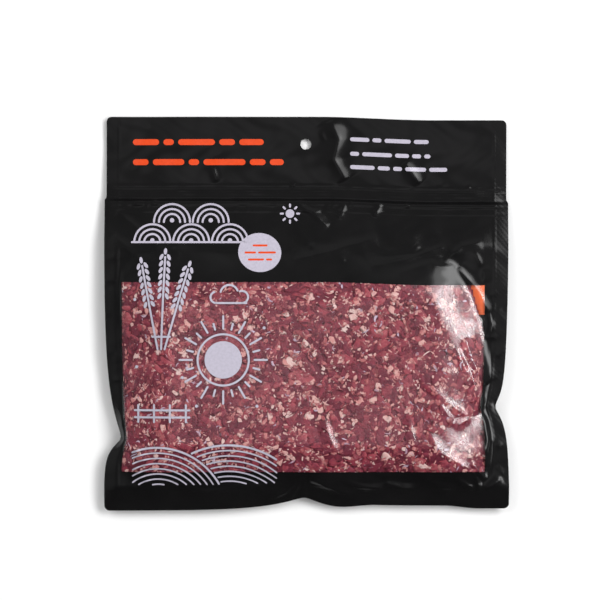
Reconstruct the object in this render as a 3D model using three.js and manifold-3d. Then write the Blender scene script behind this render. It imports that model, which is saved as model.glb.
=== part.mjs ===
// A flat vacuum pouch of minced meat, lying on its back: a black film pouch with a
// header, a press-to-close zip, a hang hole and welded flaps, and a window in which
// the block of mince shows. Millimetres, +Z up, +Y towards the header, +X to the
// right of someone who reads the pack. The origin is the middle of the footprint.

import * as THREE from "three";
import { mergeVertices } from "three/addons/utils/BufferGeometryUtils.js";
import Module from "manifold-3d";

const wasm = await Module();
wasm.setup();

// Driving dimensions of the flat pouch
const POUCH_WIDTH = 230;
const POUCH_HEIGHT = 224;
const CORNER_RADIUS = 3;
const FLAP_THICKNESS = 0.5;
const SIDE_WELD = 8;

// The hang hole punched through the header
const HOLE_DIAMETER = 6.3;
const HOLE_X = -0.5;
const HOLE_Y = 96.4;
const HOLE_SIDES = 32;

// The zip track, a ridge on both faces of the header
const ZIP_Y = 67.3;
const ZIP_HALF_WIDTH = 3.2;
const ZIP_RIDGE = 0.8;

// The block of mince: its outline, the width of the slope along each side of its face,
// which is widest on the right, and how far the film rises and drops over it. The upper
// right corner is cut off along a line that faces this many degrees above +X.
const BLOCK = { left: -107.5, right: 104.5, bottom: -97.5, top: 36 };
const FACE_SLOPE = { left: 30, right: 34, bottom: 24, top: 30 };
const BACK_SLOPE = { left: 11, right: 13, bottom: 11, top: 11 };
const CORNER_CUT = { facing: 24, at: 97.5, slope: 32 };
const SLOPE_POWER = 1.5;
const FOOT_SOFTNESS = 0.1;
const FRONT_RISE = 9.3;
const BACK_DROP = 11;
const SEAL_HEIGHT = 10.5;

// How far the flaps hang down around the block, and how fast on each side
const FLAP_DROOP = 8;
const DROOP_START = 6;
const DROOP_LENGTH = 16;
const DROOP_PACE = { left: 1.6, right: 0.3, bottom: 1.3, top: 1 };

// The window in the printed film, in flat film coordinates
const WINDOW = { left: -105, right: 101.2, bottom: -89.6, top: 17.9 };
const POCKET_WALL = 0.9;
const POCKET_GAP = 0.6;
const SIDE_GAP = 0.35;

// The mince: lumps as large as the strands that the grinder leaves
const LUMP_DEPTH = 1.1;
const LUMP_PITCH = 3.6;
const LUMP_SEED = 11;
const LUMP_FREE_EDGE = 0.55;
const LUMP_FREE_RIM = 6;

// How far the vacuum draws each edge inwards, and how far in that draw is felt
const LEFT_WAIST = { at: -70.4, draw: 9.6, above: 24, below: 5.5, reach: 14 };
const RIGHT_WAIST = { at: -52.6, draw: 4.1, above: 6, below: 6, reach: 21 };
const RIGHT_HIP = { at: -52.6, draw: 4.0, above: 48, below: 17, reach: 21 };
const BOTTOM_WAIST = { at: -1.3, draw: 7.4, above: 13, below: 20, reach: 22 };
const BOTTOM_HIP = { from: 14, to: 40, out: 78, gone: 98, kept: 0.45, draw: 2.9, reach: 22 };
const HEADER_STEP = { at: 65.5, draw: 1.1, reach: 10 };
const HEADER_SAG = { from: 8, to: 72, drop: 2.0, gone: -35, full: 30 };

// The main folds of the film: a crest from one point to another, its height and width
const FOLDS = [
  { name: "right flank", from: [82, -14], to: [98, -46], height: 2.2, width: 3.6 },
  { name: "right waist", from: [96, -45], to: [104, -64], height: 2.0, width: 3.0 },
  { name: "corner bend", from: [60, -57], to: [68, -68], height: 1.7, width: 3.2 },
  { name: "corner ridge", from: [67, -67], to: [103, -88], height: 2.4, width: 3.4 },
  { name: "corner lens", from: [58, -41], to: [86, -52], height: 1.2, width: 3.2 },
  { name: "upper flank", from: [86, 26], to: [104, -5], height: 2.0, width: 4.0 },
  { name: "above window", from: [38, 28], to: [90, 47], height: 1.3, width: 4.2 },
  { name: "upper middle", from: [-30, 31], to: [30, 41], height: 0.9, width: 4.5 },
  { name: "header dent", from: [19, 106], to: [26, 74], height: 0.8, width: 4.0 },
  { name: "left shoulder", from: [-110, 60], to: [-86, 36], height: 1.2, width: 4.0 },
  { name: "left waist", from: [-106, -70], to: [-92, -76], height: 1.8, width: 3.4 },
  { name: "bottom fan left", from: [-18, -103], to: [-3, -94], height: 1.5, width: 3.4 },
  { name: "bottom fan middle", from: [-1, -106], to: [-1, -92], height: 1.6, width: 3.2 },
  { name: "bottom fan right", from: [20, -101], to: [2, -92], height: 1.5, width: 3.4 },
  { name: "bottom corner", from: [99, -88], to: [109, -103], height: 1.6, width: 3.4 },
];

// Grid lines across and up the flat film, closer where the film bends
const ACROSS = [
  [-POUCH_WIDTH / 2, 2],
  [CORNER_RADIUS - POUCH_WIDTH / 2, 2],
  [WINDOW.left, 5],
  [-91, 20],
  [74, 9],
  [WINDOW.right, 3],
  [POUCH_WIDTH / 2 - CORNER_RADIUS, 2],
  [POUCH_WIDTH / 2, 0],
];
const UP = [
  [-POUCH_HEIGHT / 2, 2],
  [CORNER_RADIUS - POUCH_HEIGHT / 2, 4],
  [-94.5, 2],
  [WINDOW.bottom, 2],
  [-82, 14],
  [WINDOW.top, 4],
  [29.5, 5],
  [ZIP_Y - 2 * ZIP_HALF_WIDTH, 6],
  [ZIP_Y + 2 * ZIP_HALF_WIDTH, 4],
  [POUCH_HEIGHT / 2 - CORNER_RADIUS, 2],
  [POUCH_HEIGHT / 2, 0],
];

// Small helpers

const clamp01 = (t) => Math.min(1, Math.max(0, t));
const smoothstep = (from, to, t) => {
  const s = clamp01((t - from) / (to - from));
  return s * s * (3 - 2 * s);
};

// Positions of grid lines: each stop gives where a stretch starts and into how many it is cut.
function gridLines(stops) {
  const lines = [];
  for (let k = 0; k + 1 < stops.length; k++) {
    const [start, cuts] = stops[k];
    const step = (stops[k + 1][0] - start) / cuts;
    for (let n = 0; n < cuts; n++) lines.push(start + n * step);
  }
  lines.push(stops[stops.length - 1][0]);
  return lines;
}

// Lines from a to b, at most step apart.
function evenLines(a, b, step) {
  const cuts = Math.ceil((b - a) / step);
  return Array.from({ length: cuts + 1 }, (_, n) => a + ((b - a) * n) / cuts);
}

// The lines of a list that lie from a to b.
const between = (lines, a, b) => lines.filter((t) => t > a - 1e-6 && t < b + 1e-6);

// Where the flat film ends up, seen from above

// A soft cusp of height 1 that fades over its own length on each side.
function cusp(t, { at, above, below }) {
  const soft = 3;
  const distance = Math.hypot(t - at, soft) - soft;
  return Math.exp(-distance / (t > at ? above : below));
}

// How much of an edge's draw is felt at a depth from that edge.
const felt = (depth, reach) => clamp01(1 - depth / reach);

function roundCorner(u, v) {
  const cu = POUCH_WIDTH / 2 - CORNER_RADIUS;
  const cv = POUCH_HEIGHT / 2 - CORNER_RADIUS;
  const a = (Math.abs(u) - cu) / CORNER_RADIUS;
  const b = (Math.abs(v) - cv) / CORNER_RADIUS;
  if (a <= 0 || b <= 0) return [u, v];
  return [
    Math.sign(u) * (cu + CORNER_RADIUS * a * Math.sqrt(1 - (b * b) / 2)),
    Math.sign(v) * (cv + CORNER_RADIUS * b * Math.sqrt(1 - (a * a) / 2)),
  ];
}

function drawnIn(u, v) {
  const fromLeft = u + POUCH_WIDTH / 2;
  const fromRight = POUCH_WIDTH / 2 - u;
  const fromBottom = v + POUCH_HEIGHT / 2;
  const header = HEADER_STEP.draw * smoothstep(HEADER_STEP.at - 1, HEADER_STEP.at + 1, v);
  const left = LEFT_WAIST.draw * cusp(v, LEFT_WAIST) * felt(fromLeft, LEFT_WAIST.reach);
  const right =
    RIGHT_WAIST.draw * cusp(v, RIGHT_WAIST) * felt(fromRight, RIGHT_WAIST.reach) +
    RIGHT_HIP.draw * cusp(v, RIGHT_HIP) * felt(fromRight, RIGHT_HIP.reach);
  const eased = (1 - BOTTOM_HIP.kept) * smoothstep(BOTTOM_HIP.out, BOTTOM_HIP.gone, u);
  const hip = BOTTOM_HIP.draw * smoothstep(BOTTOM_HIP.from, BOTTOM_HIP.to, u) * (1 - eased);
  const bottom =
    BOTTOM_WAIST.draw * cusp(u, BOTTOM_WAIST) * felt(fromBottom, BOTTOM_WAIST.reach) +
    hip * felt(fromBottom, BOTTOM_HIP.reach);
  const sag =
    HEADER_SAG.drop *
    smoothstep(HEADER_SAG.from, HEADER_SAG.to, u) *
    smoothstep(HEADER_SAG.gone, HEADER_SAG.full, v);
  return [
    u +
      left +
      header * felt(fromLeft, HEADER_STEP.reach) -
      right -
      header * felt(fromRight, HEADER_STEP.reach),
    v + bottom - sag,
  ];
}

const place = (u, v) => drawnIn(...roundCorner(u, v));

// Heights of the film over the block of mince, by its flat coordinates

// How far a point lies past the line that cuts off the block's corner; negative inside.
function pastCut(u, v) {
  const facing = (CORNER_CUT.facing * Math.PI) / 180;
  return u * Math.cos(facing) + v * Math.sin(facing) - CORNER_CUT.at;
}

// How far a point has come from the level middle of the block, 0, to its outline, 1.
function towardsEdge(u, v, slope) {
  const across =
    Math.max(0, 1 - (u - BLOCK.left) / slope.left) +
    Math.max(0, 1 - (BLOCK.right - u) / slope.right);
  const along =
    Math.max(0, 1 - (v - BLOCK.bottom) / slope.bottom) +
    Math.max(0, 1 - (BLOCK.top - v) / slope.top);
  const cut = Math.max(0, 1 + pastCut(u, v) / CORNER_CUT.slope);
  const wobble = 0.08 * Math.sin(u / 13 + 1.2 * Math.sin(v / 17)) * Math.sin(v / 11 + 0.7);
  return Math.cbrt(across ** 3 + along ** 3 + cut ** 3) + wobble;
}

// The block's share of its full height: 1 in the middle, 0 outside, with a soft foot.
function blockShare(u, v, slope) {
  const share = 1 - Math.max(0, towardsEdge(u, v, slope)) ** SLOPE_POWER;
  return Math.min(1, (share + Math.hypot(share, FOOT_SOFTNESS)) / 2) * outsideWeld(u);
}

// 0 in the side welds, where no meat can lie, and 1 a little further in.
const outsideWeld = (u) => 1 - smoothstep(-3, 0, Math.abs(u) - POUCH_WIDTH / 2 + SIDE_WELD);

// How far a point lies outside the block, counted faster where the flap hangs more steeply.
function beyondBlock(u, v) {
  const left = DROOP_PACE.left * (BLOCK.left - u);
  const right = DROOP_PACE.right * Math.max(u - BLOCK.right, pastCut(u, v));
  const bottom = DROOP_PACE.bottom * (BLOCK.bottom - v);
  const top = DROOP_PACE.top * (v - BLOCK.top);
  return Math.hypot(Math.max(0, left, right), Math.max(0, bottom, top));
}

// The plane where front and back film meet: it droops away from the block.
function sealPlane(u, v) {
  const away = beyondBlock(u, v);
  const wave = 0.35 * Math.sin(u / 21 + 0.6) * Math.sin(v / 26 + 1.1);
  const hanging = away ** 2 / (away + DROOP_START);
  return (
    SEAL_HEIGHT - FLAP_DROOP * (1 - Math.exp(-hanging / DROOP_LENGTH)) + wave * clamp01(away / 12)
  );
}

function zipRidge(u, v) {
  const across = (v - ZIP_Y) / ZIP_HALF_WIDTH;
  const inWeld = smoothstep(POUCH_WIDTH / 2, POUCH_WIDTH / 2 - SIDE_WELD, Math.abs(u));
  return ZIP_RIDGE * Math.exp(-(across ** 4)) * (0.35 + 0.65 * inWeld);
}

// The folds' share of the height at a point seen from above.
function foldHeight(x, y) {
  let total = 0;
  for (const { from, to, height, width } of FOLDS) {
    const [ax, ay] = from;
    const [lx, ly] = [to[0] - ax, to[1] - ay];
    const along = ((x - ax) * lx + (y - ay) * ly) / (lx * lx + ly * ly);
    const s = clamp01(along);
    const off = Math.hypot(x - ax - s * lx, y - ay - s * ly);
    total += height * (4 * s * (1 - s)) ** 0.6 * Math.exp(-((off / width) ** 1.6));
  }
  return total;
}

// The top of the mince is not quite level: it was pressed flat by hand.
const crown = (u, v) =>
  0.7 * Math.sin(u / 31 + 0.4) * Math.sin(v / 24 + 0.9) + 0.5 * Math.sin(u / 17 - v / 19);

function filmTop(u, v) {
  const over = blockShare(u, v, FACE_SLOPE);
  return (
    sealPlane(u, v) +
    FLAP_THICKNESS / 2 +
    (FRONT_RISE + crown(u, v)) * over +
    zipRidge(u, v) +
    foldHeight(...place(u, v))
  );
}

function filmBottom(u, v) {
  const under = BACK_DROP * blockShare(u, v, BACK_SLOPE);
  return Math.max(0, sealPlane(u, v) - FLAP_THICKNESS / 2 - under - 0.5 * zipRidge(u, v));
}

// Numbers from 0 to 1 in a fixed order for each seed.
function seeded(seed) {
  let state = seed;
  return () => {
    state = (Math.imul(state, 1664525) + 1013904223) >>> 0;
    return state / 2 ** 32;
  };
}

// The face of the mince: every corner of its grid is pressed in by a chance amount, except
// where the meat is squeezed thin and along the edge of the window.
function lumpyTop() {
  const random = seeded(LUMP_SEED);
  return (u, v) => {
    const thick = 1 - smoothstep(LUMP_FREE_EDGE, 1, towardsEdge(u, v, FACE_SLOPE));
    const across = Math.min(u - WINDOW.left, WINDOW.right - u);
    const along = Math.min(v - WINDOW.bottom, WINDOW.top - v);
    const within = smoothstep(0, LUMP_FREE_RIM, Math.min(across, along));
    return filmTop(u, v) - FLAP_THICKNESS / 2 - LUMP_DEPTH * random() * thick * within;
  };
}

// Solids

// A closed slab over a grid of film lines, between two height functions.
function slab(us, vs, top, bottom) {
  const cols = us.length;
  const rows = vs.length;
  const positions = [];
  for (const height of [top, bottom])
    for (const v of vs)
      for (const u of us) {
        const [x, y] = place(u, v);
        positions.push(x, y, height(u, v));
      }
  const topAt = (i, j) => j * cols + i;
  const bottomAt = (i, j) => cols * rows + topAt(i, j);
  const index = [];
  for (let j = 0; j + 1 < rows; j++)
    for (let i = 0; i + 1 < cols; i++) {
      const cell = [[i, j], [i + 1, j], [i + 1, j + 1], [i, j + 1]];
      const [a, b, c, d] = cell.map(([p, q]) => topAt(p, q));
      const [e, f, g, h] = cell.map(([p, q]) => bottomAt(p, q));
      index.push(a, b, c, a, c, d, e, g, f, e, h, g);
    }
  const rim = [];
  for (let i = 0; i < cols - 1; i++) rim.push([i, 0]);
  for (let j = 0; j < rows - 1; j++) rim.push([cols - 1, j]);
  for (let i = cols - 1; i > 0; i--) rim.push([i, rows - 1]);
  for (let j = rows - 1; j > 0; j--) rim.push([0, j]);
  rim.forEach(([i, j], n) => {
    const [p, q] = rim[(n + 1) % rim.length];
    index.push(topAt(i, j), bottomAt(i, j), bottomAt(p, q));
    index.push(topAt(i, j), bottomAt(p, q), topAt(p, q));
  });
  return new THREE.BufferGeometry()
    .setAttribute("position", new THREE.Float32BufferAttribute(positions, 3))
    .setIndex(index);
}

// A closed three.js geometry as a manifold-3d solid.
function solidOf(geometry) {
  const bare = geometry.clone();
  bare.deleteAttribute("normal");
  bare.deleteAttribute("uv");
  const merged = mergeVertices(bare, 1e-4);
  return new wasm.Manifold(
    new wasm.Mesh({
      numProp: 3,
      vertProperties: new Float32Array(merged.attributes.position.array),
      triVerts: new Uint32Array(merged.index.array),
    }),
  );
}

// A manifold-3d solid as a three.js geometry.
function geometryOf(solid) {
  const { vertProperties, triVerts, numProp } = solid.getMesh();
  const positions = [];
  for (let n = 0; n < vertProperties.length; n += numProp)
    positions.push(...vertProperties.slice(n, n + 3));
  const geometry = new THREE.BufferGeometry()
    .setAttribute("position", new THREE.Float32BufferAttribute(positions, 3))
    .setIndex([...triVerts]);
  geometry.computeVertexNormals();
  return geometry;
}

// The largest body of a solid, without the loose scraps that a cut can leave.
function largest(solid) {
  const bodies = solid.decompose();
  return bodies.reduce((best, body) => (body.volume() > best.volume() ? body : best));
}

// Above and below everything, for cutting tools that run right through.
const ABOVE = 60;
const BELOW = -20;

const pocketFloor = (u, v) => filmBottom(u, v) + POCKET_WALL;

function pouchGeometry() {
  const us = gridLines(ACROSS);
  const vs = gridLines(UP);
  const body = solidOf(slab(us, vs, filmTop, filmBottom));
  const pocket = solidOf(
    slab(
      between(us, WINDOW.left, WINDOW.right),
      between(vs, WINDOW.bottom, WINDOW.top),
      () => ABOVE,
      pocketFloor,
    ),
  );
  const punch = new THREE.CylinderGeometry(
    HOLE_DIAMETER / 2,
    HOLE_DIAMETER / 2,
    ABOVE - BELOW,
    HOLE_SIDES,
  );
  punch.rotateX(Math.PI / 2).translate(HOLE_X, HOLE_Y, (ABOVE + BELOW) / 2);
  return geometryOf(body.subtract(pocket).subtract(solidOf(punch)));
}

function minceGeometry() {
  const left = WINDOW.left + SIDE_GAP;
  const right = WINDOW.right - SIDE_GAP;
  const bottom = WINDOW.bottom + SIDE_GAP;
  const top = WINDOW.top - SIDE_GAP;
  const lumpy = solidOf(
    slab(
      evenLines(left, right, LUMP_PITCH),
      evenLines(bottom, top, LUMP_PITCH),
      lumpyTop(),
      () => BELOW,
    ),
  );
  const inPocket = solidOf(
    slab(
      [left, ...between(gridLines(ACROSS), left, right), right],
      [bottom, ...between(gridLines(UP), bottom, top), top],
      () => ABOVE,
      (u, v) => pocketFloor(u, v) + POCKET_GAP,
    ),
  );
  return geometryOf(largest(lumpy.intersect(inPocket)));
}

function part(name, geometry, color, roughness) {
  const material = new THREE.MeshStandardMaterial({ color, roughness, metalness: 0 });
  const mesh = new THREE.Mesh(geometry, material);
  mesh.name = name;
  return mesh;
}

const pack = new THREE.Group();
pack.add(part("pouch", pouchGeometry(), 0x1c1c1e, 0.25));
pack.add(part("mince", minceGeometry(), 0x8a4a50, 0.35));

export default pack;
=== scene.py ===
# %% [markdown]
# # A vacuum pouch of minced meat
# The real thing is two sheets of black laminate film, welded together along their edges,
# with all the air drawn out. The front sheet has a clear window with a slab of mince
# behind it, and above the slab a press-to-close zip and a header with a hang hole.
# This lesson builds the looks of that pouch around a plain solid model of it, in metres.

import math

import bmesh
import bpy
import numpy as np
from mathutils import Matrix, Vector, noise


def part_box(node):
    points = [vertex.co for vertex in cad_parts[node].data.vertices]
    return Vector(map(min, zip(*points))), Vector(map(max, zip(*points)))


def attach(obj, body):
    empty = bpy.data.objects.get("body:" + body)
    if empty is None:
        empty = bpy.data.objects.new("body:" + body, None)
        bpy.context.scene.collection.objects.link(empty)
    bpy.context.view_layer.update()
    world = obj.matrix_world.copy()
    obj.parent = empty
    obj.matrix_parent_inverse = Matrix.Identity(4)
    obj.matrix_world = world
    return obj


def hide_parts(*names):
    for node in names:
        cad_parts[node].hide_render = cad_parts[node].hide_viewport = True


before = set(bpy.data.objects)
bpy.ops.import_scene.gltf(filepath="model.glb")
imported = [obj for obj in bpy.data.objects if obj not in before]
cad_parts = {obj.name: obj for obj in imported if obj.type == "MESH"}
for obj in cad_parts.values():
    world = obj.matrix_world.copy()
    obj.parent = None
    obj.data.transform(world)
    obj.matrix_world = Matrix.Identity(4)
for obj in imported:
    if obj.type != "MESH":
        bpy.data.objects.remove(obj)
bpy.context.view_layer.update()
pouch_low, pouch_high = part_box("pouch")
mince_low, mince_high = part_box("mince")
print("pouch, mm:", [round(1000 * side, 1) for side in pouch_high - pouch_low])
print("mince, mm:", [round(1000 * side, 1) for side in mince_high - mince_low])

# %% [markdown]
# ## The sizes of the pouch
# A packaging drawing is in millimetres, so the sizes here are too, and MM turns them into
# metres at the last moment. The flat pouch has two coordinates of its own: u runs to the
# right and v runs up towards the header, from the middle of the sheet.

# %% Sizes, in millimetres
MM = 0.001
POUCH_WIDTH = 230.0
POUCH_HEIGHT = 224.0
CORNER_RADIUS = 3.0
FLAP_THICKNESS = 0.5
SIDE_WELD = 8.0
FILM = 0.18

HOLE_RADIUS = 3.15
HOLE_X = -0.5
HOLE_Y = 96.4
ZIP_Y = 67.3
ZIP_HALF_WIDTH = 3.2
ZIP_RIDGE = 0.8
WINDOW = {"left": -105.0, "right": 101.2, "bottom": -89.6, "top": 17.9}

BLOCK = {"left": -107.5, "right": 104.5, "bottom": -97.5, "top": 36.0}
FACE_SLOPE = {"left": 30.0, "right": 34.0, "bottom": 24.0, "top": 30.0}
BACK_SLOPE = {"left": 11.0, "right": 13.0, "bottom": 11.0, "top": 11.0}
CORNER_CUT = {"facing": 24.0, "at": 97.5, "slope": 32.0}
SLOPE_POWER = 1.5
FOOT_SOFTNESS = 0.1
FRONT_RISE = 9.3
BACK_DROP = 11.0
SEAL_HEIGHT = 10.5
FLAP_DROOP = 8.0
DROOP_START = 6.0
DROOP_LENGTH = 16.0
DROOP_PACE = {"left": 1.6, "right": 0.3, "bottom": 1.3, "top": 1.0}
print("flat pouch, mm:", POUCH_WIDTH, "by", POUCH_HEIGHT)

# %% [markdown]
# ## Where the flat film ends up, seen from above
# When the air goes out, the film is drawn round the sides of the slab, so the edges of the
# pouch are pulled inwards: a waist on the left, one on the right, and one at the bottom.
# A formula moves every point of the flat sheet, and numpy works on all points at once.
# A cloth simulation would do it too, but it takes minutes and puts the waists elsewhere.

# %% The waists and the header's sag
LEFT_WAIST = {"at": -70.4, "draw": 9.6, "above": 24.0, "below": 5.5, "reach": 14.0}
RIGHT_WAIST = {"at": -52.6, "draw": 4.1, "above": 6.0, "below": 6.0, "reach": 21.0}
RIGHT_HIP = {"at": -52.6, "draw": 4.0, "above": 48.0, "below": 17.0, "reach": 21.0}
BOTTOM_WAIST = {"at": -1.3, "draw": 7.4, "above": 13.0, "below": 20.0, "reach": 22.0}
BOTTOM_HIP = {"from": 14.0, "to": 40.0, "draw": 2.9, "reach": 22.0}
BOTTOM_HIP_END = {"from": 78.0, "to": 98.0, "kept": 0.45}
HEADER_STEP = {"at": 65.5, "draw": 1.1, "reach": 10.0}
HEADER_SAG = {"from": 8.0, "to": 72.0, "drop": 2.0, "gone": -35.0, "full": 30.0}
CUSP_SOFTNESS = 3.0


def smoothstep(low, high, t):
    """Rises smoothly from 0 at low to 1 at high, or falls where low is the larger."""
    s = np.clip((t - low) / (high - low), 0, 1)
    return s * s * (3 - 2 * s)


def cusp(t, waist):
    """A soft cusp of height 1 at the waist, which fades over its own length on each side."""
    distance = np.hypot(t - waist["at"], CUSP_SOFTNESS) - CUSP_SOFTNESS
    return np.exp(-distance / np.where(t > waist["at"], waist["above"], waist["below"]))


def felt(depth, reach):
    """How much of an edge's draw is felt at a depth from that edge."""
    return np.clip(1 - depth / reach, 0, 1)


def round_corner(u, v):
    """Squares the sheet's corners off into arcs."""
    cu = POUCH_WIDTH / 2 - CORNER_RADIUS
    cv = POUCH_HEIGHT / 2 - CORNER_RADIUS
    a = np.maximum((np.abs(u) - cu) / CORNER_RADIUS, 0)
    b = np.maximum((np.abs(v) - cv) / CORNER_RADIUS, 0)
    inside = (a <= 0) | (b <= 0)
    round_u = np.sign(u) * (cu + CORNER_RADIUS * a * np.sqrt(1 - b * b / 2))
    round_v = np.sign(v) * (cv + CORNER_RADIUS * b * np.sqrt(1 - a * a / 2))
    return np.where(inside, u, round_u), np.where(inside, v, round_v)


def place(u, v):
    """The plan position of each point of the flat film, once the pouch is packed."""
    u, v = round_corner(u, v)
    from_left = u + POUCH_WIDTH / 2
    from_right = POUCH_WIDTH / 2 - u
    from_bottom = v + POUCH_HEIGHT / 2
    above_zip = smoothstep(HEADER_STEP["at"] - 1, HEADER_STEP["at"] + 1, v)
    left = LEFT_WAIST["draw"] * cusp(v, LEFT_WAIST) * felt(from_left, LEFT_WAIST["reach"])
    right = RIGHT_WAIST["draw"] * cusp(v, RIGHT_WAIST) * felt(from_right, RIGHT_WAIST["reach"])
    right = right + RIGHT_HIP["draw"] * cusp(v, RIGHT_HIP) * felt(from_right, RIGHT_HIP["reach"])
    ending = smoothstep(BOTTOM_HIP_END["from"], BOTTOM_HIP_END["to"], u)
    eased = (1 - BOTTOM_HIP_END["kept"]) * ending
    hip = BOTTOM_HIP["draw"] * smoothstep(BOTTOM_HIP["from"], BOTTOM_HIP["to"], u) * (1 - eased)
    waist = BOTTOM_WAIST["draw"] * cusp(u, BOTTOM_WAIST) * felt(from_bottom, BOTTOM_WAIST["reach"])
    bottom = waist + hip * felt(from_bottom, BOTTOM_HIP["reach"])
    sag = HEADER_SAG["drop"] * smoothstep(HEADER_SAG["from"], HEADER_SAG["to"], u)
    sag = sag * smoothstep(HEADER_SAG["gone"], HEADER_SAG["full"], v)
    inwards = felt(from_left, HEADER_STEP["reach"]) - felt(from_right, HEADER_STEP["reach"])
    header = HEADER_STEP["draw"] * above_zip * inwards
    return u + left - right + header, v + bottom - sag


# %% [markdown]
# ## How high the film lies
# Front and back film meet in a seal plane that droops away from the slab. The slab lifts
# the front film above that plane and drops the back film below it, down to the table.
# Its face slopes off over some thirty millimetres on every side and its underside over a
# dozen, and the upper right corner of the slab is cut off. Sums of sines make all of it a
# little uneven. Their wavelengths and phases mean nothing: they only must not line up.

# %% The slab under the film
SLAB_WOBBLE = 0.08
SEAL_WAVE = 0.35
WAVE_START = 12.0
CROWN = 0.7
CROWN_SLANT = 0.5
WELD_CLEARANCE = 3.0


def past_cut(u, v):
    """How far a point lies past the line that cuts off the slab's corner."""
    facing = math.radians(CORNER_CUT["facing"])
    return u * math.cos(facing) + v * math.sin(facing) - CORNER_CUT["at"]


def towards_edge(u, v, slope):
    """0 on the level middle of the slab, 1 at its outline, more outside."""
    across = np.maximum(0, 1 - (u - BLOCK["left"]) / slope["left"])
    across = across + np.maximum(0, 1 - (BLOCK["right"] - u) / slope["right"])
    along = np.maximum(0, 1 - (v - BLOCK["bottom"]) / slope["bottom"])
    along = along + np.maximum(0, 1 - (BLOCK["top"] - v) / slope["top"])
    cut = np.maximum(0, 1 + past_cut(u, v) / CORNER_CUT["slope"])
    wobble = SLAB_WOBBLE * np.sin(u / 13 + 1.2 * np.sin(v / 17)) * np.sin(v / 11 + 0.7)
    return np.cbrt(across**3 + along**3 + cut**3) + wobble


def block_share(u, v, slope):
    """The slab's share of its full height, which is 0 in the side welds."""
    share = 1 - np.maximum(0, towards_edge(u, v, slope)) ** SLOPE_POWER
    outside_weld = 1 - smoothstep(-WELD_CLEARANCE, 0, np.abs(u) - POUCH_WIDTH / 2 + SIDE_WELD)
    return np.minimum(1, (share + np.hypot(share, FOOT_SOFTNESS)) / 2) * outside_weld


def beyond_block(u, v):
    """How far a point lies outside the slab, counted faster where the flap hangs more steeply."""
    left = DROOP_PACE["left"] * (BLOCK["left"] - u)
    right = DROOP_PACE["right"] * np.maximum(u - BLOCK["right"], past_cut(u, v))
    bottom = DROOP_PACE["bottom"] * (BLOCK["bottom"] - v)
    top = DROOP_PACE["top"] * (v - BLOCK["top"])
    across = np.maximum(0, np.maximum(left, right))
    along = np.maximum(0, np.maximum(bottom, top))
    return np.hypot(across, along)


def seal_plane(u, v):
    """The height at which front and back film meet, which droops towards the edges."""
    away = beyond_block(u, v)
    wave = SEAL_WAVE * np.sin(u / 21 + 0.6) * np.sin(v / 26 + 1.1)
    hanging = away**2 / (away + DROOP_START)
    droop = FLAP_DROOP * (1 - np.exp(-hanging / DROOP_LENGTH))
    return SEAL_HEIGHT - droop + wave * np.clip(away / WAVE_START, 0, 1)


def slab_face(u, v):
    """The height of the film where it lies tight on the slab, without its folds."""
    crown = CROWN * np.sin(u / 31 + 0.4) * np.sin(v / 24 + 0.9)
    crown = crown + CROWN_SLANT * np.sin(u / 17 - v / 19)
    over = block_share(u, v, FACE_SLOPE)
    return seal_plane(u, v) + FLAP_THICKNESS / 2 + (FRONT_RISE + crown) * over


# %% [markdown]
# ## Folds in the film
# Laminate film bends but hardly stretches, so what is left over stands up in folds, with
# sharp crests and sides that run out flat. Each row here is one fold: its crest line, its
# height, and the width of its left and right side, seen along the line. A narrow side is
# steep, and a wide one is a facet that catches the light. They lie where a packed slab has
# them, round its corners and at the waists. Smaller ones with a fixed seed fill in between.

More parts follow.
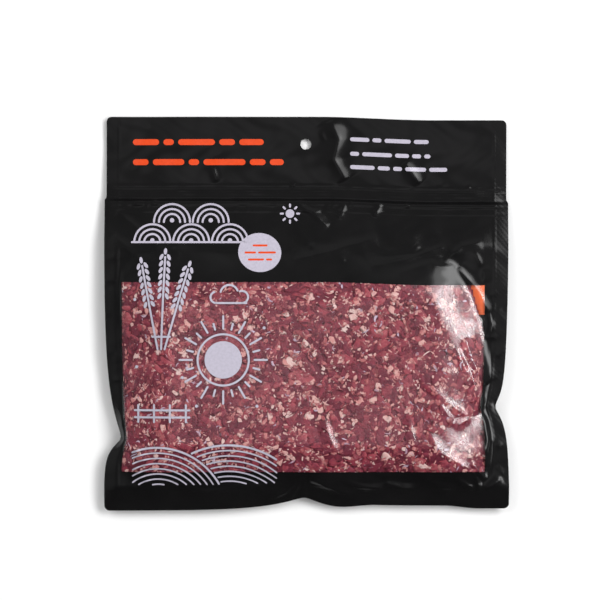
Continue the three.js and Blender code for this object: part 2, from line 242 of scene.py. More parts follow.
# %% Fold lines, in millimetres
FOLDS = [
    # the right flank, from the cut corner down to the waist
    ([(86, 26), (97, 12), (103, 0)], 1.1, 3.4, 2.0),
    ([(89, -14), (93, -26), (100.5, -40.5)], 2.2, 6.0, 1.6),
    ([(84, -20), (90, -33), (97.5, -42)], 1.3, 3.0, 1.6),
    ([(92, -30), (95, -40), (97.5, -48), (98.5, -57)], 2.2, 2.2, 7.0),
    ([(98.5, -55), (101, -62), (102.5, -72), (100, -86)], 1.9, 1.8, 6.5),
    ([(102.7, 1), (104.5, -6), (102.5, -13)], 0.6, 1.2, 1.4),
    # the lower right corner of the window
    ([(71.5, -61), (68.5, -67), (75, -79), (98, -92)], 1.1, 2.6, 1.0),
    ([(93, -84), (101, -94)], 1.5, 1.4, 1.2),
    ([(67, -55), (76, -52), (81, -59), (82, -63)], 0.8, 1.3, 2.6),
    ([(76, -48), (92.5, -59)], 0.8, 1.8, 2.4),
    ([(92.5, -59), (83, -63.5)], 1.0, 2.0, 1.6),
    ([(62, -36), (77, -48)], 0.8, 3.2, 1.8),
    ([(9, -58), (12, -69), (19, -84)], 1.9, 4.6, 2.8),
    ([(57, -58), (60.5, -76)], 1.2, 3.0, 1.8),
    ([(-6, -80), (9, -88)], 0.7, 2.4, 1.3),
    # above the window
    ([(36, 27), (56, 31), (66.5, 34), (78, 38.5)], 0.9, 1.5, 3.0),
    ([(78, 30), (88, 38), (99, 40.5)], 0.7, 1.5, 3.0),
    ([(52, 23.5), (70.5, 29), (76, 26.5), (84, 27)], 0.45, 1.4, 3.0),
    ([(-8, 30), (16, 36), (40, 43)], 0.9, 3.0, 5.0),
    ([(-12, 60), (8, 58)], 0.7, 2.5, 2.5),
    ([(-108, 58), (-96, 48), (-84, 40)], 1.2, 3.0, 4.5),
    ([(-110, 44), (-100, 36), (-92, 27)], 1.0, 3.0, 4.0),
    ([(95, 35), (99, 27)], 0.35, 1.2, 1.6),
    # below the zip
    ([(-6, 62), (4, 57), (12, 49)], 1.2, 2.2, 3.0),
    ([(22, 62), (18, 54)], 0.9, 1.8, 2.4),
    ([(42, 62), (38, 55)], 0.9, 1.8, 2.4),
    # the header
    ([(13, 110), (18, 99), (15, 88), (22, 76)], 2.3, 7.0, 6.5),
    ([(55, 86), (64, 74)], 1.4, 4.4, 4.0),
    ([(-54, 84), (-51, 75)], 0.8, 2.2, 2.4),
    ([(8, 104), (12, 96)], 0.7, 2.6, 2.4),
    # the bottom flap, drawn together into a fan
    ([(-3, -93), (-12, -101), (-24, -107)], 1.2, 2.0, 2.6),
    ([(-3, -94), (-8, -103), (-13, -109)], 1.0, 1.4, 1.8),
    ([(-1, -94), (-2, -107)], 1.1, 1.6, 1.6),
    ([(1, -93), (12, -98), (26, -103)], 1.3, 2.2, 3.0),
    ([(22, -95), (32, -98), (44, -99.5)], 1.2, 1.8, 2.2),
    ([(44, -95), (54, -99), (62, -100)], 1.0, 1.8, 2.2),
    ([(66, -94), (78, -98), (84, -98)], 1.1, 2.4, 2.0),
    ([(-72, -97), (-58, -101), (-44, -100)], 0.9, 1.8, 2.0),
    ([(84, -93), (95, -100)], 1.3, 1.8, 2.4),
    ([(96, -92), (98, -101)], 1.2, 1.4, 1.4),
    ([(101, -100), (110, -93)], 1.2, 1.6, 2.4),
    # the left waist
    ([(-104, -71), (-96, -77), (-88, -88)], 1.4, 2.0, 2.6),
    ([(-106, -66), (-101, -52), (-103, -36)], 0.8, 2.2, 2.2),
    ([(-100, -82), (-94, -92), (-84, -99)], 1.0, 2.4, 2.4),
]
CREST_RADIUS = 0.35
FLANK_REACH = 2.8
FLANK_CURVE = 3
END_BLUNTNESS = 0.45
SEARCH_REACH = 3
CROSSING_SHARE = 0.25
SMALL_FOLDS = 90
SMALL_FOLD_SEED = 5
ZIP_CREASES = 34


def small_folds():
    """Short low creases that run outwards from the slab, and tiny ones beside the zip."""
    random = np.random.default_rng(SMALL_FOLD_SEED)
    folds = []
    half_width = (BLOCK["right"] - BLOCK["left"]) / 2
    half_height = (BLOCK["top"] - BLOCK["bottom"]) / 2
    for _ in range(SMALL_FOLDS):
        angle = random.uniform(0, 2 * math.pi)
        reach = random.uniform(0.86, 1.04)
        square = max(abs(math.cos(angle)), abs(math.sin(angle)))
        x = (BLOCK["left"] + BLOCK["right"]) / 2 + half_width * reach * math.cos(angle) / square
        y = (BLOCK["bottom"] + BLOCK["top"]) / 2 + half_height * reach * math.sin(angle) / square
        turn = angle + random.normal(0, 0.7)
        length = random.uniform(3, 9)
        end = (x + length * math.cos(turn), y + length * math.sin(turn))
        width = random.uniform(0.9, 2.0)
        height = random.uniform(0.15, 0.45)
        folds.append(([(x, y), end], height, width, 1.6 * width))
    for _ in range(ZIP_CREASES):
        x = random.uniform(-106, 106)
        y = ZIP_Y + random.choice([-7.5, -5.0, 4.5]) + random.normal(0, 0.8)
        end = (x + random.uniform(1.0, 4.5), y + random.normal(0, 0.9))
        height = random.uniform(0.12, 0.4)
        folds.append(([(x, y), end], height, 0.9, 0.9))
    return folds


def one_fold(x, y, line, height, left, right):
    """The height of one fold over each point: 0 at both ends of its line, with a sharp crest."""
    points = np.array(line, float)
    lengths = np.hypot(*np.diff(points, axis=0).T)
    start = np.concatenate([[0], np.cumsum(lengths)])
    nearest = np.full(x.shape, np.inf)
    along = np.zeros(x.shape)
    side = np.zeros(x.shape)
    for (ax, ay), (bx, by), length, begun in zip(points[:-1], points[1:], lengths, start):
        dx, dy = (bx - ax) / length, (by - ay) / length
        s = np.clip((x - ax) * dx + (y - ay) * dy, 0, length)
        off_x, off_y = x - ax - s * dx, y - ay - s * dy
        off = np.hypot(off_x, off_y)
        closer = off < nearest
        nearest = np.where(closer, off, nearest)
        along = np.where(closer, (begun + s) / start[-1], along)
        side = np.where(closer, dx * off_y - dy * off_x, side)
    width = np.where(side > 0, left, right)
    crest = np.hypot(nearest, CREST_RADIUS) - CREST_RADIUS
    flank = np.maximum(0, 1 - crest / (FLANK_REACH * width)) ** FLANK_CURVE
    return height * (4 * along * (1 - along)) ** END_BLUNTNESS * flank


ALL_FOLDS = FOLDS + small_folds()


def fold_height(x, y):
    """The highest fold over each point, and a share of the lower one where two cross."""
    total = np.zeros(x.shape)
    for line, height, left, right in ALL_FOLDS:
        reach = SEARCH_REACH * max(left, right)
        xs, ys = zip(*line)
        near = (x > min(xs) - reach) & (x < max(xs) + reach)
        near = near & (y > min(ys) - reach) & (y < max(ys) + reach)
        old = total[near]
        new = one_fold(x[near], y[near], line, height, left, right)
        total[near] = np.maximum(old, new) + CROSSING_SHARE * np.minimum(old, new)
    return total


print("folds:", len(FOLDS), "large and", len(ALL_FOLDS) - len(FOLDS), "small")


# %% [markdown]
# ## The zip and the film's own waviness
# The press-to-close zip is a pair of ribs that lies between the two films, and the hot
# bars that weld it in leave thin lines above and below it. Everywhere the film has a
# slight swell, which the eye sees only because the reflections bend. The side welds press
# the zip flatter, and the slab pulls the swell out of the film.

# %% Zip relief and the two faces
ZIP_LINES = [(72.8, 0.26), (70.4, 0.42), (65.6, 0.34), (62.4, 0.36), (58.4, 0.2)]
BOTTOM_WELD_TOP = -100.0
WELD_EDGE = 0.11
LINE_WIDTH = 0.5
RIDGE_KEPT = 0.35
LINES_KEPT = 0.5
BROAD_SWELL = 0.3
FINE_SWELL = 0.11
BROAD_PULLED_OUT = 0.83
FINE_PULLED_OUT = 0.73
BACK_ZIP_SHARE = 0.5


def zip_relief(u, v):
    """The zip's ridge and the thin lines beside it."""
    free = smoothstep(POUCH_WIDTH / 2, POUCH_WIDTH / 2 - SIDE_WELD, np.abs(u))
    ridge = ZIP_RIDGE * np.exp(-(((v - ZIP_Y) / ZIP_HALF_WIDTH) ** 4))
    lines = sum(height * np.exp(-(((v - at) / LINE_WIDTH) ** 2)) for at, height in ZIP_LINES)
    ridge = ridge * (RIDGE_KEPT + (1 - RIDGE_KEPT) * free)
    return ridge + lines * (LINES_KEPT + (1 - LINES_KEPT) * free)


def weld_relief(u, v):
    """The line that the edge of a hot bar leaves in the film, along the sides and the bottom."""
    side = np.exp(-(((np.abs(u) - POUCH_WIDTH / 2 + SIDE_WELD) / LINE_WIDTH) ** 2))
    bottom = np.exp(-(((v - BOTTOM_WELD_TOP) / LINE_WIDTH) ** 2))
    return WELD_EDGE * np.maximum(side, bottom)


def swell(u, v):
    """The waviness of the film, less where it lies on the slab."""
    on_slab = block_share(u, v, FACE_SLOPE)
    broad = np.sin(u / 9.5 + 1.7 * np.sin(v / 14)) * np.sin(v / 8.3 + 0.9 * np.sin(u / 19))
    fine = np.sin(u / 3.1 + 2.0 * np.sin(v / 5.7)) * np.sin(v / 2.9 + 1.3 * np.sin(u / 6.1))
    broad = BROAD_SWELL * broad * (1 - BROAD_PULLED_OUT * on_slab)
    return broad + FINE_SWELL * fine * (1 - FINE_PULLED_OUT * on_slab)


def front_height(u, v):
    """The height of the front film's outer face."""
    welded = zip_relief(u, v) + weld_relief(u, v)
    return slab_face(u, v) + welded + fold_height(*place(u, v)) + swell(u, v)


def back_height(u, v):
    """The height of the back film's outer face, which lies flat on the table under the slab."""
    under = BACK_DROP * block_share(u, v, BACK_SLOPE) + BACK_ZIP_SHARE * zip_relief(u, v)
    return np.maximum(0, seal_plane(u, v) - FLAP_THICKNESS / 2 - under)


# %% [markdown]
# ## From a flat sheet to a draped one
# A grid operator makes the flat sheet. The row of points nearest to each edge of the
# window is snapped onto that edge, which keeps every face a quad, and then the formulas
# above lift all points at once. Reading and writing the coordinates as one numpy array
# is hundreds of times faster than a loop over vertices.

# %% Sheet helpers
FRONT_STEP = 0.8
BACK_STEP = 2.0
SHARP_ANGLE = 60


def flat_sheet(step):
    """The flat sheet, with a row of points on each edge of the window."""
    bm = bmesh.new()
    columns = round(POUCH_WIDTH / step)
    rows = round(POUCH_HEIGHT / step)
    bmesh.ops.create_grid(bm, x_segments=columns, y_segments=rows, size=0.5)
    bmesh.ops.scale(bm, vec=(POUCH_WIDTH, POUCH_HEIGHT, 1), verts=bm.verts)
    for vert in bm.verts:
        for edge in ("left", "right"):
            if abs(vert.co.x - WINDOW[edge]) < 0.5 * step:
                vert.co.x = WINDOW[edge]
        for edge in ("bottom", "top"):
            if abs(vert.co.y - WINDOW[edge]) < 0.5 * step:
                vert.co.y = WINDOW[edge]
    return bm


def punch_hole(bm):
    """Deletes the faces inside the hang hole and draws the edge that is left onto its circle."""
    centre = Vector((HOLE_X, HOLE_Y, 0))
    gone = [face for face in bm.faces if (face.calc_center_median() - centre).length < HOLE_RADIUS]
    rim = {vert for face in gone for vert in face.verts}
    bmesh.ops.delete(bm, geom=gone, context="FACES")
    for vert in rim:
        if vert.is_valid and vert.link_faces:
            vert.co = centre + (vert.co - centre).normalized() * HOLE_RADIUS


def in_window(face):
    """Whether a flat face lies inside the window."""
    middle = face.calc_center_median()
    return WINDOW["left"] < middle.x < WINDOW["right"] and WINDOW["bottom"] < middle.y < WINDOW["top"]


def mesh_object(name, bm, smooth=True):
    """Turns a bmesh into an object in the scene."""
    mesh = bpy.data.meshes.new(name)
    bm.to_mesh(mesh)
    bm.free()
    mesh.polygons.foreach_set("use_smooth", np.full(len(mesh.polygons), smooth))
    piece = bpy.data.objects.new(name, mesh)
    bpy.context.scene.collection.objects.link(piece)
    return piece


def coordinates(mesh):
    """All points of a mesh as one array, a row for each."""
    values = np.empty(3 * len(mesh.vertices))
    mesh.vertices.foreach_get("co", values)
    return values.reshape(-1, 3)


def drape(piece, height, lift=0.0):
    """Moves a flat piece's points, in millimetres, onto the film, and turns them into metres."""
    flat = coordinates(piece.data)
    x, y = place(flat[:, 0], flat[:, 1])
    z = height(flat[:, 0], flat[:, 1]) + lift + flat[:, 2]
    piece.data.vertices.foreach_set("co", (np.stack([x, y, z], axis=1) * MM).ravel())
    piece.data.update()


def thicken(piece, thickness):
    """Gives a sheet its thickness, on the side away from its faces."""
    solid = piece.modifiers.new("thickness", "SOLIDIFY")
    solid.thickness = thickness * MM
    solid.offset = -1
    solid.use_even_offset = False


def settle(piece):
    """Applies the modifiers and marks the edges of the sheet as sharp ones."""
    graph = bpy.context.evaluated_depsgraph_get()
    finished = bpy.data.meshes.new_from_object(piece.evaluated_get(graph))
    piece.modifiers.clear()
    piece.data = finished
    finished.name = piece.name
    finished.set_sharp_from_angle(angle=math.radians(SHARP_ANGLE))


def mark_welds(piece):
    """Gives every point of a flat sheet 1 where the hot bars press it and 0 elsewhere."""
    flat = coordinates(piece.data)
    sides = smoothstep(-1, 0.5, np.abs(flat[:, 0]) - POUCH_WIDTH / 2 + SIDE_WELD)
    bottom = smoothstep(BOTTOM_WELD_TOP + 0.5, BOTTOM_WELD_TOP - 1, flat[:, 1])
    weld = piece.data.attributes.new("weld", "FLOAT", "POINT")
    weld.data.foreach_set("value", np.maximum(sides, bottom).astype(np.float32))


def count(piece):
    """The number of triangles in a piece."""
    piece.data.calc_loop_triangles()
    return len(piece.data.loop_triangles)


# %% [markdown]
# ## The front film
# The front sheet is one laminate, printed black everywhere except in the window. It is
# draped and thickened in one go, and only then split in two, because print and clear film
# need two materials. Cut before that, the window would get a bright rim of its own.

# %% Printed front and clear window
WINDOW_FACES = 1


def front_sheet():
    """The flat front film, with the window's faces marked."""
    bm = flat_sheet(FRONT_STEP)
    punch_hole(bm)
    for face in bm.faces:
        face.material_index = WINDOW_FACES if in_window(face) else 0
    return mesh_object("front_film", bm)


def split_off(piece, name, kept_index):
    """A copy of a piece that keeps only the faces with one material number."""
    bm = bmesh.new()
    bm.from_mesh(piece.data)
    others = [face for face in bm.faces if face.material_index != kept_index]
    bmesh.ops.delete(bm, geom=others, context="FACES")
    for face in bm.faces:
        face.material_index = 0
    return mesh_object(name, bm)


whole_front = front_sheet()
mark_welds(whole_front)
drape(whole_front, front_height)
thicken(whole_front, FILM)
settle(whole_front)
window = split_off(whole_front, "window_film", WINDOW_FACES)
front = split_off(whole_front, "printed_film", 0)
bpy.data.objects.remove(whole_front)
for sheet in (front, window):
    print(sheet.name, count(sheet), "triangles")

# %% [markdown]
# ## The back film
# The back sheet is plain black, lies flat on the table under the slab and rises to the
# seal plane round it. Its faces point down, so the flat sheet is turned over first.

# %% Back film
def back_film():
    """The flat back film, with its faces pointing down."""
    bm = flat_sheet(BACK_STEP)
    punch_hole(bm)
    bmesh.ops.reverse_faces(bm, faces=bm.faces)
    return mesh_object("back_film", bm)


back = back_film()
mark_welds(back)
drape(back, back_height)
thicken(back, FILM)
settle(back)
print(back.name, count(back), "triangles")

# %% [markdown]
# ## The mince
# Minced meat is a heap of short, soft strands. Under vacuum they are squeezed together
# until they fill every gap, and the film presses their tops level, so what shows is a
# mosaic of flattened pieces with thin dark seams, and chopped bits of fat among them.
# Here a core with a cellular relief fills the slab, and thousands of small squashed balls
# are pushed into it from above. Every point that would stick out is pressed back under
# the film. Cutting each ball of fat by a few random planes gives it its chopped corners.
# The seams and the deeper pieces are also darker in their colour, which is painted shade.

# %% The core of the slab
CORE_STEP = 1.1
CORE_MARGIN = 3.0
CORE_DEPTH = 0.3
SEAM_DEPTH = 0.7
CELL = 4.2
UNDER_FILM = 0.2
UNDER_FOOT = 0.5
MINCE_SHARE = 0.03
THINNEST_MEAT = 0.5


def pressed_height(u, v):
    """As high as meat can stand: just under the film, with its folds left empty."""
    foot = 1 - smoothstep(0.05, 0.35, block_share(u, v, FACE_SLOPE))
    return slab_face(u, v) + np.minimum(swell(u, v), 0) - FILM - UNDER_FILM - UNDER_FOOT * foot


def cell_seams(u, v):
    """1 along the seams between the strands of meat and 0 inside them."""
    bent_u = u + 1.6 * np.sin(v / 3.7 + 1.1 * np.sin(u / 5.3))
    bent_v = v + 1.6 * np.sin(u / 4.1 + 0.8 * np.sin(v / 4.9))
    seams = np.zeros(u.shape)
    for n, (a, b) in enumerate(zip(bent_u / CELL, bent_v / CELL)):
        near, next_near = noise.voronoi(Vector((0.7 * a, b, 0)))[0][:2]
        seams[n] = 1 - min(1, 3.5 * (next_near - near))
    return seams


def mince_core():
    """The slab behind the window as one closed body, with the strands' seams in its face."""
    bm = bmesh.new()
    width = WINDOW["right"] - WINDOW["left"] + 2 * CORE_MARGIN
    height = WINDOW["top"] - WINDOW["bottom"] + 2 * CORE_MARGIN
    bmesh.ops.create_grid(
        bm, x_segments=round(width / CORE_STEP), y_segments=round(height / CORE_STEP), size=0.5
    )
    bmesh.ops.scale(bm, vec=(width, height, 1), verts=bm.verts)
    middle_u = (WINDOW["left"] + WINDOW["right"]) / 2
    middle_v = (WINDOW["bottom"] + WINDOW["top"]) / 2
    bmesh.ops.translate(bm, vec=(middle_u, middle_v, 0), verts=bm.verts)
    centres = np.array([face.calc_center_median()[:2] for face in bm.faces])
    thin = block_share(centres[:, 0], centres[:, 1], FACE_SLOPE) < MINCE_SHARE
    outside = [face for face, gone in zip(bm.faces, thin) if gone]
    bmesh.ops.delete(bm, geom=outside, context="FACES")
    below = bmesh.ops.extrude_face_region(bm, geom=bm.faces[:])
    for vert in [item for item in below["geom"] if isinstance(item, bmesh.types.BMVert)]:
        vert.co.z = 1
    bmesh.ops.recalc_face_normals(bm, faces=bm.faces)
    core = mesh_object("mince_core", bm)
    flat = coordinates(core.data)
    u, v = flat[:, 0], flat[:, 1]
    seams = cell_seams(u, v)
    top = pressed_height(u, v) - CORE_DEPTH - SEAM_DEPTH * seams**2
    bottom = np.minimum(back_height(u, v) + 2 * FILM, top - THINNEST_MEAT)
    z = np.where(flat[:, 2] > 0.5, top, bottom)
    x, y = place(u, v)
    core.data.vertices.foreach_set("co", (np.stack([x, y, z], axis=1) * MM).ravel())
    core.data.update()
    # The depth of each point under the film, by which the material paints shade into the seams.
    seam = core.data.attributes.new("sunk", "FLOAT", "POINT")
    seam.data.foreach_set("value", (CORE_DEPTH + SEAM_DEPTH * seams).astype(np.float32))
    return core


core = mince_core()
print(core.name, count(core), "triangles")

# %% Squashed balls, joined into one mesh for each kind
def ball():
    """The points and faces of one round ball of 80 triangles."""
    bm = bmesh.new()
    bmesh.ops.create_icosphere(bm, subdivisions=2, radius=1)
    points = np.array([vert.co[:] for vert in bm.verts])
    faces = np.array([[vert.index for vert in face.verts] for face in bm.faces])
    bm.free()
    return points, faces


BALL_POINTS, BALL_FACES = ball()
RIM = 1.0
PIECE_SHARE = 0.06
SPARE = 3
CHOP_DEPTH = 0.9
TILT = 0.15


def chop(plan, random, cuts):
    """Presses each ball's points in behind random upright planes, which leaves it corners."""
    number = len(plan)
    for _ in range(cuts):
        facing = random.uniform(0, 2 * math.pi, number)
        reach = random.uniform(0.35, 0.9, number)
        normal = np.stack([np.cos(facing), np.sin(facing)], axis=1)
        over = np.maximum(0, np.einsum("npk,nk->np", plan, normal) - reach[:, None])
        plan = plan - CHOP_DEPTH * over[:, :, None] * normal[:, None, :]
    return plan


def scatter(
    name, number, length, slim, thickness, depth, seed, bend=0.25, cuts=0, clusters=0.0, rim_tint_and_shade=0.0
):
    """
    Squashed balls over the slab. Lengths, thicknesses and depths are (smallest, largest), in
    millimetres, slim is the width as a share of the length, and clusters gathers the balls.
    The rim value colours their rims as if they lay that much deeper: painted shade round
    each piece, and on fat also the red of the meat that shows through its thin edge.
    More places are drawn than needed, because some are crowded out or lie off the slab.
    """
    random = np.random.default_rng(seed)
    drawn = SPARE * number
    u = random.uniform(WINDOW["left"] - 2 * RIM, WINDOW["right"] + 2 * RIM, drawn)
    v = random.uniform(WINDOW["bottom"] - 2 * RIM, WINDOW["top"] + 2 * RIM, drawn)
    crowd = np.sin(u / 7.3 + 2.1 * np.sin(v / 9.1)) * np.sin(v / 6.7 + 1.7 * np.sin(u / 11.9))
    kept = random.uniform(0, 1, drawn) > clusters * (0.5 + 0.5 * crowd)
    kept = kept & (block_share(u, v, FACE_SLOPE) > PIECE_SHARE)
    u, v = u[kept][:number], v[kept][:number]
    number = len(u)
    long_half = (length[0] + (length[1] - length[0]) * random.uniform(0, 1, number) ** 2) / 2
    wide_half = long_half * random.uniform(*slim, number)
    thick_half = random.uniform(*thickness, number) / 2
    turn = random.uniform(0, math.pi, number)
    tilt = random.normal(0, TILT, (number, 2))
    phase = random.uniform(0, 2 * math.pi, (number, 3))
    points = BALL_POINTS[None, :, :].repeat(number, axis=0)
    plan = chop(points[:, :, :2], random, cuts)
    lumps = 1 + 0.2 * np.sin(2.6 * points[:, :, 0] + phase[:, None, 0])
    lumps = lumps + 0.16 * np.sin(3.7 * points[:, :, 1] + phase[:, None, 1])
    lumps = lumps + 0.1 * np.sin(6.1 * (points[:, :, 0] + points[:, :, 1]) + phase[:, None, 2])
    along = plan[:, :, 0] * lumps * long_half[:, None]
    across = plan[:, :, 1] * lumps * wide_half[:, None]
    across = across + bend * np.sin(phase[:, None, 2]) * along**2 / long_half[:, None]
    up = points[:, :, 2] * thick_half[:, None]
    cos, sin = np.cos(turn)[:, None], np.sin(turn)[:, None]
    flat_u = u[:, None] + along * cos - across * sin
    flat_v = v[:, None] + along * sin + across * cos
    flat_u = np.clip(flat_u, WINDOW["left"] - RIM, WINDOW["right"] + RIM)
    flat_v = np.clip(flat_v, WINDOW["bottom"] - RIM, WINDOW["top"] + RIM)
    centre = pressed_height(u, v) - random.uniform(*depth, number)
    z = centre[:, None] + up + tilt[:, None, 0] * along + tilt[:, None, 1] * across
    ceiling = pressed_height(flat_u, flat_v)
    z = np.minimum(z, ceiling)
    x, y = place(flat_u, flat_v)
    faces = BALL_FACES[None, :, :] + len(BALL_POINTS) * np.arange(number)[:, None, None]
    mesh = bpy.data.meshes.new(name)
    mesh.vertices.add(number * len(BALL_POINTS))
    mesh.vertices.foreach_set("co", (np.stack([x, y, z], axis=2) * MM).ravel())
    triangles = number * len(BALL_FACES)
    mesh.loops.add(3 * triangles)
    mesh.loops.foreach_set("vertex_index", faces.ravel().astype(np.int32))
    mesh.polygons.add(triangles)
    mesh.polygons.foreach_set("loop_start", np.arange(0, 3 * triangles, 3, dtype=np.int32))
    mesh.update(calc_edges=True)
    mesh.polygons.foreach_set("use_smooth", np.ones(triangles, bool))
    tone = mesh.attributes.new("tone", "FLOAT", "POINT")
    values = random.uniform(0, 1, number)[:, None].repeat(len(BALL_POINTS), axis=1)
    tone.data.foreach_set("value", values.ravel().astype(np.float32))
    # How far each point lies under the film, plus the rim value; the material paints shade by it.
    sunk = mesh.attributes.new("sunk", "FLOAT", "POINT")
    rim = rim_tint_and_shade * (1 - smoothstep(0, 0.8, np.abs(points[:, :, 2])))
    sunk.data.foreach_set("value", (ceiling - z + rim).ravel().astype(np.float32))
    mesh.validate()
    piece = bpy.data.objects.new(name, mesh)
    bpy.context.scene.collection.objects.link(piece)
    print(name, number, "pieces,", triangles, "triangles")
    return piece


lean = scatter("lean_strands", 1500, (5, 13), (0.35, 0.65), (2.4, 3.6), (0.3, 0.9), 3)
crumb = scatter(
    "lean_crumbs", 1600, (1.8, 6.0), (0.3, 0.8), (1.2, 2.0), (0.0, 0.45), 4, cuts=2, rim_tint_and_shade=0.9
)
fat = scatter(
    "fat_chunks", 560, (2.8, 7.6), (0.45, 0.9), (1.2, 2.2), (-0.2, 0.3), 8,
    cuts=5, clusters=0.8, rim_tint_and_shade=0.8,
)
bits = scatter(
    "fat_bits", 1500, (0.8, 3.0), (0.3, 0.9), (0.8, 1.4), (-0.1, 0.35), 9,
    cuts=3, clusters=0.85, rim_tint_and_shade=0.6,
)
sliver = scatter(
    "fat_slivers", 420, (1.6, 4.6), (0.1, 0.25), (0.6, 1.2), (-0.1, 0.3), 10,
    bend=0.4, clusters=0.6, rim_tint_and_shade=0.4,
)
sinew = scatter(
    "sinew_flecks", 360, (1.2, 5.5), (0.1, 0.4), (0.8, 1.4), (-0.1, 0.2), 12,
    bend=0.4, cuts=1, rim_tint_and_shade=0.3,
)
mince_pieces = (core, lean, crumb, fat, bits, sliver, sinew)

# %% [markdown]
# ## The print
# The pouch is printed in two inks over its black: a pale lilac white and an orange. The
# inks cross from the black film onto the clear window without a break, so they are pieces
# of their own, a hair above the film. Flat strips are drawn first, by extruding or
# spinning a short edge as wide as the pen stroke, and the same drape as for the sheets
# then lays them on the film. An image would need a texture file; drawn strips stay sharp
# at any distance. The lettering of a real pack is only suggested here, by plain dashes.

# %% Pen strokes
PEN = 1.15
STROKE_STEP = 0.9
INK = 0.05
INK_GAP = 0.1


def edge_chain(bm, start, end, cuts=2):
    """A straight row of edges, to be extruded or spun."""
    start, end = Vector((*start, 0)), Vector((*end, 0))
    verts = [bm.verts.new(start.lerp(end, n / cuts)) for n in range(cuts + 1)]
    return verts + [bm.edges.new(pair) for pair in zip(verts, verts[1:])]


def spun(bm, chain, centre, angle, steps):
    """Sweeps a chain of edges round a centre."""
    bmesh.ops.spin(bm, geom=chain, cent=(*centre, 0), axis=(0, 0, 1), angle=angle, steps=steps)


def polar(centre, radius, angle):
    """The point at an angle and a distance from a centre."""
    return (centre[0] + radius * math.cos(angle), centre[1] + radius * math.sin(angle))


def round_end(bm, centre, facing, width):
    """Half a disc on the end of a stroke, bulging towards the direction that it faces."""
    chain = edge_chain(bm, centre, polar(centre, width / 2, facing - math.pi / 2), cuts=1)
    spun(bm, chain, centre, math.pi, 6)


def line(bm, start, end, width=PEN):
    """A straight stroke with round ends."""
    run = Vector(end) - Vector(start)
    facing = math.atan2(run.y, run.x)
    right = polar(start, width / 2, facing - math.pi / 2)
    left = polar(start, width / 2, facing + math.pi / 2)
    chain = edge_chain(bm, right, left)
    steps = max(1, round(run.length / STROKE_STEP))
    for _ in range(steps):
        edges = [part for part in chain if isinstance(part, bmesh.types.BMEdge)]
        chain = bmesh.ops.extrude_edge_only(bm, edges=edges)["geom"]
        verts = [part for part in chain if isinstance(part, bmesh.types.BMVert)]
        bmesh.ops.translate(bm, vec=(run.x / steps, run.y / steps, 0), verts=verts)
    round_end(bm, start, facing + math.pi, width)
    round_end(bm, end, facing, width)


def arc(bm, centre, radius, first, last, width=PEN):
    """Part of a ring, from one angle to another, with round ends."""
    inner, outer = radius - width / 2, radius + width / 2
    chain = edge_chain(bm, polar(centre, inner, first), polar(centre, outer, first))
    steps = max(3, round(radius * abs(last - first) / STROKE_STEP))
    spun(bm, chain, centre, last - first, steps)
    turn = math.copysign(math.pi / 2, last - first)
    round_end(bm, polar(centre, radius, first), first - turn, width)
    round_end(bm, polar(centre, radius, last), last + turn, width)


def ring(bm, centre, radius, width=PEN):
    """A whole ring."""
    arc(bm, centre, radius, 0, 2 * math.pi, width)


def disc(bm, centre, radius, stretch=(1, 1), turn=0.0):
    """A filled disc, or an ellipse when it is stretched and then turned."""
    before = set(bm.verts)
    cuts = max(1, round(radius / STROKE_STEP))
    chain = edge_chain(bm, centre, polar(centre, radius, 0), cuts)
    spun(bm, chain, centre, 2 * math.pi, max(10, round(2 * math.pi * radius / STROKE_STEP)))
    cos, sin = math.cos(turn), math.sin(turn)
    for vert in set(bm.verts) - before:
        a = (vert.co.x - centre[0]) * stretch[0]
        b = (vert.co.y - centre[1]) * stretch[1]
        vert.co.x = centre[0] + a * cos - b * sin
        vert.co.y = centre[1] + a * sin + b * cos


def ink_piece(name, draw, lift=0.0):
    """A piece made of the strokes that the function draws, laid on the front film."""
    bm = bmesh.new()
    draw(bm)
    bmesh.ops.remove_doubles(bm, verts=bm.verts, dist=0.01)
    bm.normal_update()
    bmesh.ops.reverse_faces(bm, faces=[face for face in bm.faces if face.normal.z < 0])
    piece = mesh_object(name, bm)
    drape(piece, front_height, lift=lift + INK + INK_GAP)
    thicken(piece, INK)
    settle(piece)
    print(name, count(piece), "triangles")
    return piece


# %% [markdown]
# ### A countryside in line art
# The picture on the left is a plain one of fields: scallops like a ploughed horizon at the
# top, ears of wheat, a large sun, a fence and furrowed hills. Each motif is a short
# function of its own, placed by its middle in flat film millimetres.

# %% Motifs
def scallop(bm, centre):
    """Three half rings round a dot."""
    for radius in (10.2, 7.4, 4.6):
        arc(bm, centre, radius, 0, math.pi)
    disc(bm, (centre[0], centre[1] + 1.0), 1.3)


def wheat_ear(bm, foot, tip, grains=7):
    """A stem, and pairs of grains along its upper half."""
    foot, tip = Vector(foot), Vector(tip)
    line(bm, foot, tip)
    along = (tip - foot).normalized()
    facing = math.atan2(along.y, along.x)
    for n in range(grains):
        middle = tip - along * 3.7 * n
        for side in (-1, 1):
            out = Vector((-along.y, along.x)) * side * 2.1
            disc(bm, tuple(middle + out), 1.9, stretch=(1.0, 0.5), turn=facing - side * 0.45)
    disc(bm, tuple(tip + along * 3.2), 1.9, stretch=(1.0, 0.5), turn=facing)


def sun(bm, centre, core_radius, ring_radius, rays, first, short, long):
    """A disc, a ring unless its radius is 0, and rays that are long and short in turn."""
    disc(bm, centre, core_radius)
    if ring_radius:
        ring(bm, centre, ring_radius)
    for n in range(rays):
        angle = 2 * math.pi * n / rays
        line(bm, polar(centre, first, angle), polar(centre, long if n % 2 == 0 else short, angle))


